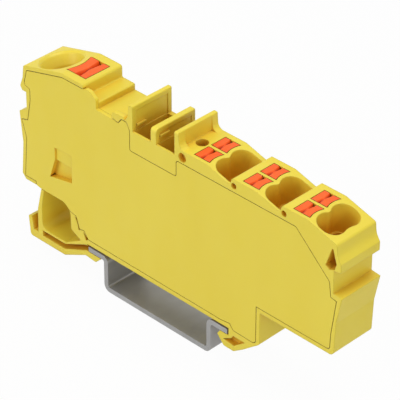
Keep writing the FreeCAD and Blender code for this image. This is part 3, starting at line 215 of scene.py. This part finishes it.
def metal(name, colour, dull, roughness, stretch, metallic=1.0):
    """Rolled or drawn metal: fine lines along the way it was drawn, and duller patches."""
    material, tree, shader = new_material(name)
    lines = object_noise(tree, DRAWN_LINES, detail=4.0, roughness=0.6, stretch=stretch)
    patches = object_noise(tree, METAL_PATCHES, detail=3.0, roughness=0.6)
    skin = mix_colours(tree, spread(tree, patches, NOISE_RANGE), colour, dull)
    tree.links.new(skin, shader.inputs["Base Color"])
    lined = spread(tree, lines, NOISE_RANGE, roughness - LINE_SMOOTHER, roughness + LINE_ROUGHER)
    tree.links.new(lined, shader.inputs["Roughness"])
    surface = relief(tree, lines, DRAWN_LINE_DEPTH, DRAWN_LINE_STRENGTH, METAL_EDGE)
    tree.links.new(surface, shader.inputs["Normal"])
    shader.inputs["Metallic"].default_value = metallic
    return material


def yellow_moulding(name, edge):
    """The block's yellow plastic, with edges as round as that piece's."""
    return moulded_plastic(
        name,
        colour=YELLOW,
        deep=YELLOW_DEEP,
        painted_hollow_shade=YELLOW_PAINTED_HOLLOW_SHADE,
        painted_gap_shade=YELLOW_PAINTED_GAP_SHADE,
        gap_shade_sky=YELLOW_GAP_SHADE_SKY,
        edge=edge,
        grain=0.22,
    )


yellow_plastic = yellow_moulding("yellow_plastic", MOULDING_EDGE)
cover_plastic = yellow_moulding("cover_plastic", COVER_EDGE)
orange_plastic = moulded_plastic(
    "orange_plastic",
    colour=ORANGE,
    deep=ORANGE_DEEP,
    painted_hollow_shade=ORANGE_PAINTED_HOLLOW_SHADE,
    painted_gap_shade=ORANGE_PAINTED_GAP_SHADE,
    gap_shade_sky=ORANGE_GAP_SHADE_SKY,
    edge=BUTTON_EDGE,
    grain=0.16,
)
ALONG_RAIL = (1.0, 0.06, 1.0)
ALONG_BUSBAR = (0.06, 1.0, 1.0)
ALONG_SPRING = (1.0, 0.1, 1.0)
galvanised_steel = metal(
    "galvanised_steel", ZINC, ZINC_DULL, roughness=0.42, stretch=ALONG_RAIL, metallic=0.55)
plain_copper = metal("plain_copper", COPPER, COPPER_DULL, roughness=0.32, stretch=ALONG_BUSBAR)
tinned_copper = metal("tinned_copper", TIN, TIN_DULL, roughness=0.34, stretch=ALONG_BUSBAR)
spring_steel = metal("spring_steel", STEEL, STEEL_DULL, roughness=0.28, stretch=ALONG_SPRING)


def dress(name, material):
    """Gives a node its finish."""
    piece = nodes[name]
    piece.data.materials.clear()
    piece.data.materials.append(material)


dress("side_cover", cover_plastic)
dress("din_rail", galvanised_steel)
dress("busbar", plain_copper)
for name in nodes:
    if "contact" in name:
        dress(name, tinned_copper)
    elif "button" in name:
        dress(name, orange_plastic)


# The moulding, with the window of its latching foot open from front to back. The window's bounds
# hold the corners of the thin web across it, and its inner corner is the one beside the foot's arm.
WINDOW_LEFT = -30.0 * MM
WINDOW_RIGHT = -19.4 * MM
WINDOW_LOW = 5.4 * MM
WINDOW_HIGH = 14.4 * MM
WEB_FRONT = -0.95 * MM
WEB_BACK = 0.25 * MM
INNER_CORNER_X = -29.9 * MM
INNER_CORNER_Z = 5.45 * MM
SMALL_ROUND = 0.3 * MM
WIDE_ROUND = 1.4 * MM
ON_PLANE = 0.002 * MM
SAME_PLACE = 0.0001 * MM


def at_web(vert, plane):
    """Whether a corner of the mesh lies in this face of the thin web."""
    x, y, z = vert.co
    return abs(y - plane) < ON_PLANE and WINDOW_LEFT < x < WINDOW_RIGHT and WINDOW_LOW < z < WINDOW_HIGH


def widen_rounding(vert):
    """Opens the small rounding of the window's inner corner into a wide one."""
    across = vert.co.x - INNER_CORNER_X
    up = vert.co.z - INNER_CORNER_Z
    if max(abs(across), abs(up)) < SMALL_ROUND + ON_PLANE:
        vert.co.x = INNER_CORNER_X + across * WIDE_ROUND / SMALL_ROUND
        vert.co.z = INNER_CORNER_Z + up * WIDE_ROUND / SMALL_ROUND


def open_window(shell):
    """Takes the web out; the window's front walls run on to meet the back ones."""
    web = []
    for face in shell.faces:
        for plane in (WEB_FRONT, WEB_BACK):
            if all(at_web(vert, plane) for vert in face.verts):
                web.append(face)
    bmesh.ops.delete(shell, geom=web, context="FACES")
    for vert in shell.verts:
        if at_web(vert, WEB_FRONT):
            vert.co.y = WEB_BACK
        widen_rounding(vert)


def closed_copy(node_name, name, body, material, reshape=None):
    """A node's solid as a closed shell of its own, with the directions of its smooth faces kept."""
    mesh = nodes[node_name].data.copy()
    mesh.name = name
    directions = mesh.attributes.new("direction", "FLOAT_VECTOR", "CORNER")
    facing = [part for corner in mesh.corner_normals for part in corner.vector]
    directions.data.foreach_set("vector", facing)
    shell = bmesh.new()
    shell.from_mesh(mesh)
    if reshape:
        reshape(shell)
    bmesh.ops.remove_doubles(shell, verts=shell.verts, dist=SAME_PLACE)
    shell.to_mesh(mesh)
    shell.free()
    kept = [tuple(corner.vector) for corner in mesh.attributes["direction"].data]
    mesh.attributes.remove(mesh.attributes["direction"])
    mesh.normals_split_custom_set(kept)
    mesh.materials.clear()
    mesh.materials.append(material)
    piece = bpy.data.objects.new(name, mesh)
    scene.collection.objects.link(piece)
    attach(piece, body)
    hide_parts(node_name)
    return piece


closed_copy("housing", "housing_moulding", "block", yellow_plastic, open_window)


# Clamp springs, which their buttons press down on the contact plates
OUTPUT_CLAMPS = 6


def clamp_spring(clamp):
    """The spring under that button, as a closed shell of its own."""
    node_name = clamp.replace("press", "spring")
    name = clamp.replace("press", "clamp_spring")
    spring = closed_copy(node_name, name, "block", spring_steel)
    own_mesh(spring)


clamp_spring("input_press")
for number in range(1, OUTPUT_CLAMPS + 1):
    clamp_spring("output_press_%d" % number)


# Camera, found from the rail's corners and the block's upright edges
CAMERA_AZIMUTH = math.radians(44.59)
CAMERA_TILT = math.radians(90 - 34.46)
CAMERA_ROLL = math.radians(0.11)
CAMERA_PLACE = (258.2 * MM, -255.65 * MM, 273.3 * MM)
camera_data = bpy.data.cameras.new("camera")
camera_data.lens = 226.8
camera_data.sensor_width = 36.0
camera_data.clip_start = 0.01
camera_data.clip_end = 50.0
camera = bpy.data.objects.new("camera", camera_data)
scene.collection.objects.link(camera)
aim = Euler((CAMERA_TILT, 0.0, CAMERA_AZIMUTH)).to_matrix()
roll = Matrix.Rotation(CAMERA_ROLL, 3, "Z")
camera.rotation_euler = (aim @ roll).to_euler()
camera.location = CAMERA_PLACE
scene.camera = camera


# Pale floor that keeps the shadow
FLOOR_REACH = 6.0
FLOOR_LEVEL = -0.05 * MM
FLOOR_GLOW_SHARE = 0.965
sheet = bmesh.new()
bmesh.ops.create_grid(sheet, x_segments=1, y_segments=1, size=FLOOR_REACH)
bmesh.ops.translate(sheet, verts=sheet.verts, vec=(0.0, 0.0, FLOOR_LEVEL))
floor_mesh = bpy.data.meshes.new("floor")
sheet.to_mesh(floor_mesh)
sheet.free()
floor = bpy.data.objects.new("floor", floor_mesh)
scene.collection.objects.link(floor)


def maths(tree, operation, first, second):
    """The operation worked out on two values; each is a number or another node's output."""
    made = node(tree, "ShaderNodeMath")
    made.operation = operation
    for socket, value in zip(made.inputs, (first, second)):
        if isinstance(value, bpy.types.NodeSocket):
            tree.links.new(value, socket)
        else:
            socket.default_value = value
    return made.outputs[0]


def seen_directly(tree):
    """One for rays from the camera, a reflection or through glass, else nothing."""
    path = node(tree, "ShaderNodeLightPath")
    open_air = maths(tree, "MAXIMUM", path.outputs["Is Camera Ray"], path.outputs["Is Glossy Ray"])
    return maths(tree, "MAXIMUM", open_air, path.outputs["Is Transmission Ray"])


def show_when_seen(tree, share, usual, seen, output):
    """Joins two shaders to the output: the usual one, and one for what the camera sees."""
    mix = node(tree, "ShaderNodeMixShader")
    tree.links.new(share, mix.inputs[0])
    tree.links.new(usual.outputs[0], mix.inputs[1])
    tree.links.new(seen.outputs[0], mix.inputs[2])
    tree.links.new(mix.outputs[0], output.inputs["Surface"])


floor_material = bpy.data.materials.new("pale_floor")
floor_material.use_nodes = True
tree = floor_material.node_tree
tree.nodes.clear()
output = node(tree, "ShaderNodeOutputMaterial")
paint = node(tree, "ShaderNodeBsdfDiffuse", Color=FLOOR_PAINT)
glow = node(tree, "ShaderNodeEmission", Color=WHITE, Strength=1.0)
glow_share = maths(tree, "MULTIPLY", seen_directly(tree), FLOOR_GLOW_SHARE)
show_when_seen(tree, glow_share, paint, glow, output)
floor_mesh.materials.append(floor_material)


# White surroundings and soft studio light
SURROUNDING_LIGHT = 0.40
world = bpy.data.worlds.new("studio")
scene.world = world
world.use_nodes = True
tree = world.node_tree
tree.nodes.clear()
output = node(tree, "ShaderNodeOutputWorld")
surroundings = node(tree, "ShaderNodeBackground", Color=WHITE, Strength=SURROUNDING_LIGHT)
backdrop = node(tree, "ShaderNodeBackground", Color=WHITE, Strength=1.0)
show_when_seen(tree, seen_directly(tree), surroundings, backdrop, output)


def lamp(name, place, size, share):
    """A square soft lamp aimed at the block, giving a facing surface that share of full light."""
    data = bpy.data.lights.new(name, "AREA")
    data.shape = "SQUARE"
    data.size = size
    made = bpy.data.objects.new(name, data)
    scene.collection.objects.link(made)
    made.location = place
    towards = -made.location
    data.energy = share * math.pi ** 2 * towards.length_squared
    made.rotation_euler = towards.to_track_quat("-Z", "Y").to_euler()


lamp("lamp_above", place=(0.05, 0.05, 0.9), size=0.5, share=0.53)
lamp("lamp_front", place=(-0.35, -0.8, 0.35), size=0.5, share=0.375)
lamp("lamp_right", place=(0.85, -0.25, 0.3), size=0.4, share=0.215)
